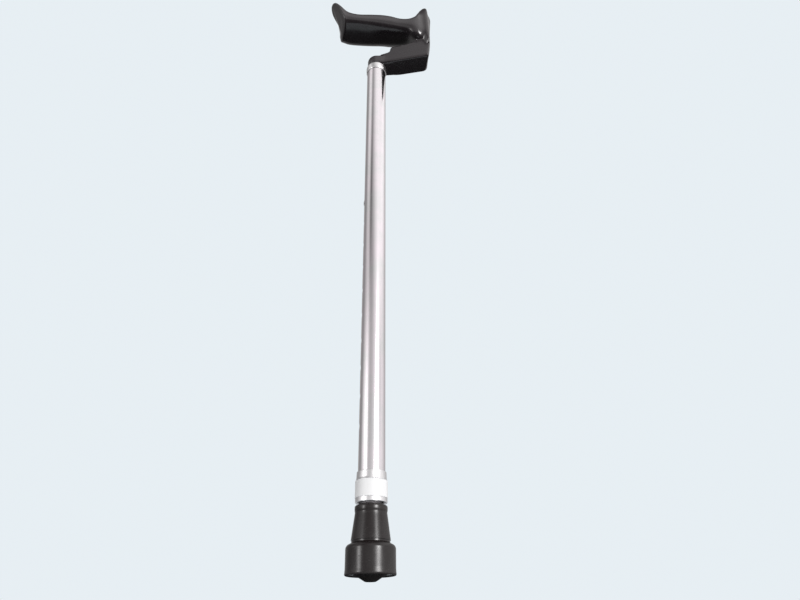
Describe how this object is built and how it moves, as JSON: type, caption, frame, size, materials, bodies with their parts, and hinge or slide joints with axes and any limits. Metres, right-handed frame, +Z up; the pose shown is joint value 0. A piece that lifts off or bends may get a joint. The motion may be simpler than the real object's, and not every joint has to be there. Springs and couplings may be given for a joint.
{
  "type": "walking stick",
  "caption": "Height-adjustable aluminium walking stick with an anatomical palm grip, snap button, lock nut and rubber ferrule.",
  "frame": {"origin": "centre of the flat end under the ferrule's sole boss, where the stick meets the ground", "axes": "+Z up along the tubes, +X from the tube towards the handle's web, -Y towards the near side of the palm grip"},
  "size_m": [0.1252, 0.0506, 0.6643],
  "materials": {
    "aluminium": "polished and anodised silver",
    "bright_trim": "bright plated",
    "spring_steel": "plain spring steel",
    "black_plastic": "glossy moulded",
    "black_rubber": "satin moulded rubber",
    "white_nylon": "smooth white nylon"
  },
  "bodies": {
    "lower": {"inner_tube": "aluminium", "inner_tube_bush": "white_nylon", "button_spring": "spring_steel", "ferrule": "black_rubber", "ferrule_washer": "spring_steel"},
    "button": {"snap_button": "spring_steel"},
    "upper": {"outer_tube": "aluminium", "handle": "black_plastic", "handle_trim_ring": "bright_trim", "handle_cross_pin": "spring_steel", "thread_sleeve": "aluminium"},
    "collet": {"lock_collet": "white_nylon"},
    "lock_nut": {"lock_nut": "bright_trim", "nut_grip_band": "white_nylon"}
  },
  "joints": [
    {"name": "height_slide", "type": "slide", "parent": "lower", "child": "upper", "axis": [0, 0, 1], "range_m": [0, 0.2403], "deforming": ["snap_button", "button_spring"]},
    {"name": "button_press", "type": "slide", "parent": "lower", "child": "button", "axis": [1, 0, 0], "range_m": [0, 0.0026], "stiffness_N_per_m": 1200, "springref_m": -0.002, "deforming": ["button_spring"]},
    {"name": "collet_slide", "type": "slide", "parent": "upper", "child": "collet", "axis": [0, 0, -1], "range_m": [0, 0.00076]},
    {"name": "nut_turn", "type": "hinge", "parent": "collet", "child": "lock_nut", "pos_m": [0, 0, 0.067], "axis": [0, 0, -1], "range_deg": [0, 180]}
  ],
  "couplings": [
    {"joint": "collet_slide", "follows": "nut_turn", "m_per_rad": 0.00023873}
  ]
}
